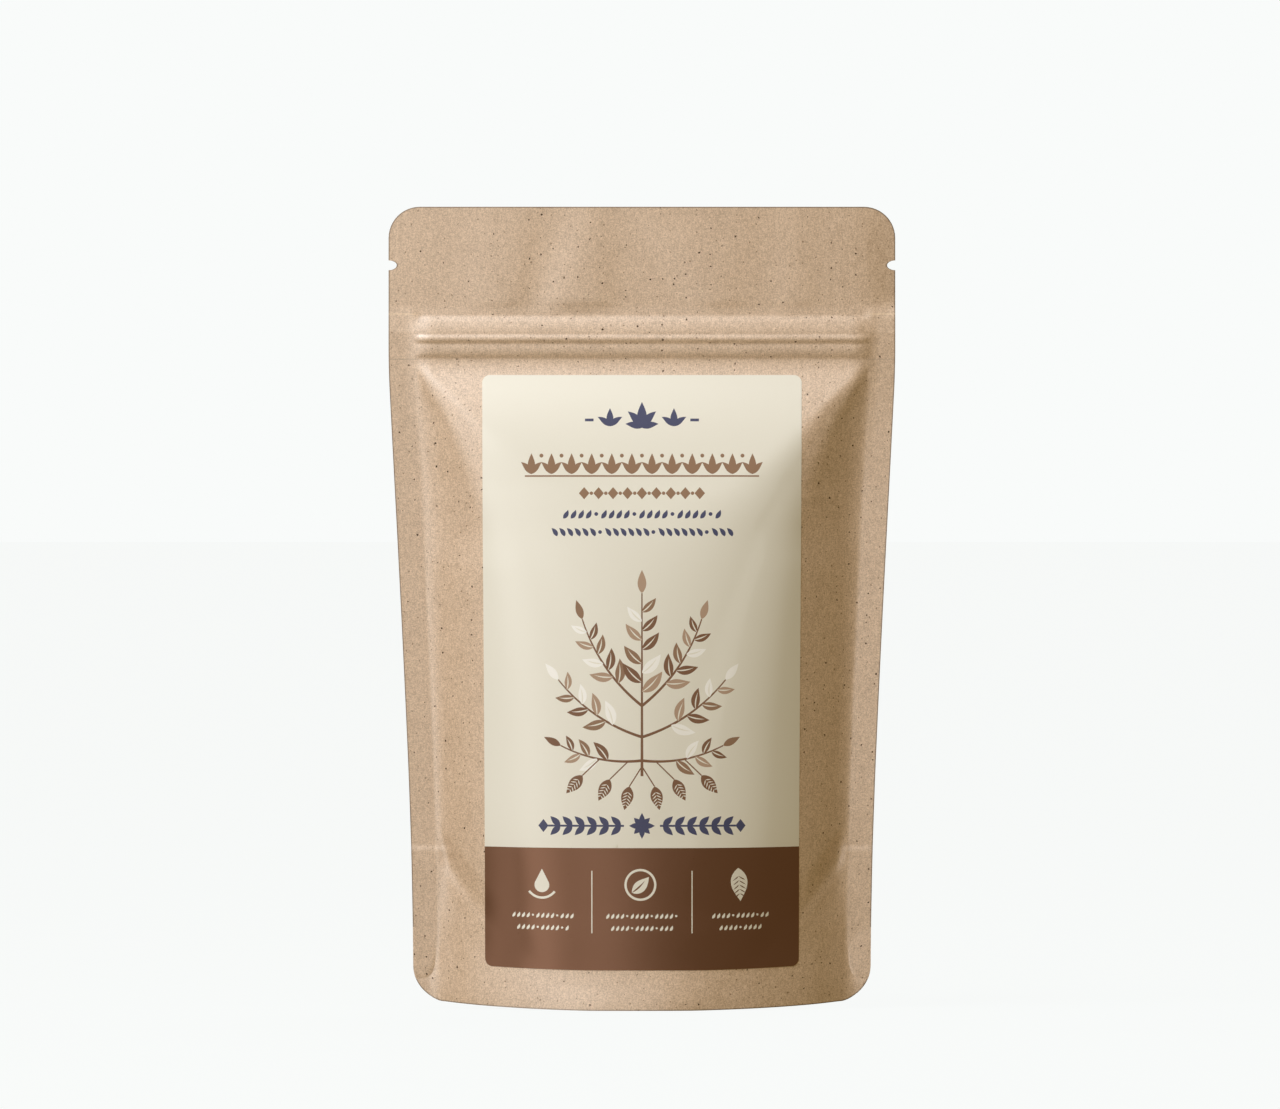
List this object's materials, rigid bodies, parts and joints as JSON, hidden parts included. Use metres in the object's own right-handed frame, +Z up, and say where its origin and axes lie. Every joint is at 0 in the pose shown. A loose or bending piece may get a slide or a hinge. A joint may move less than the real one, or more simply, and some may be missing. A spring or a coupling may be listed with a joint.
{
  "type": "stand-up pouch",
  "caption": "Filled kraft-paper stand-up pouch with side seals, tear notches, a press-to-close zip, a folded bottom gusset and a front label, with alder cones inside.",
  "frame": {"origin": "on the floor, under the middle of the standing pouch", "axes": "+Z up, +X to the right of the label as it is read, -Y out of the labelled front"},
  "size_m": [0.13, 0.0392, 0.2057],
  "materials": {
    "kraft_paper": "uncoated brown kraft paper with fine dark and light fibres, matt",
    "label_paper": null,
    "zip_plastic": "milky translucent polyethylene",
    "cone_wood": "dry dark brown cone scales, matt"
  },
  "bodies": {
    "root": {"front_panel": "kraft_paper", "back_panel": "kraft_paper", "bottom_gusset": "kraft_paper", "label": "label_paper", "zip_strip_front": "zip_plastic", "zip_strip_back": "zip_plastic", "alder_cones": "cone_wood"}
  },
  "joints": []
}
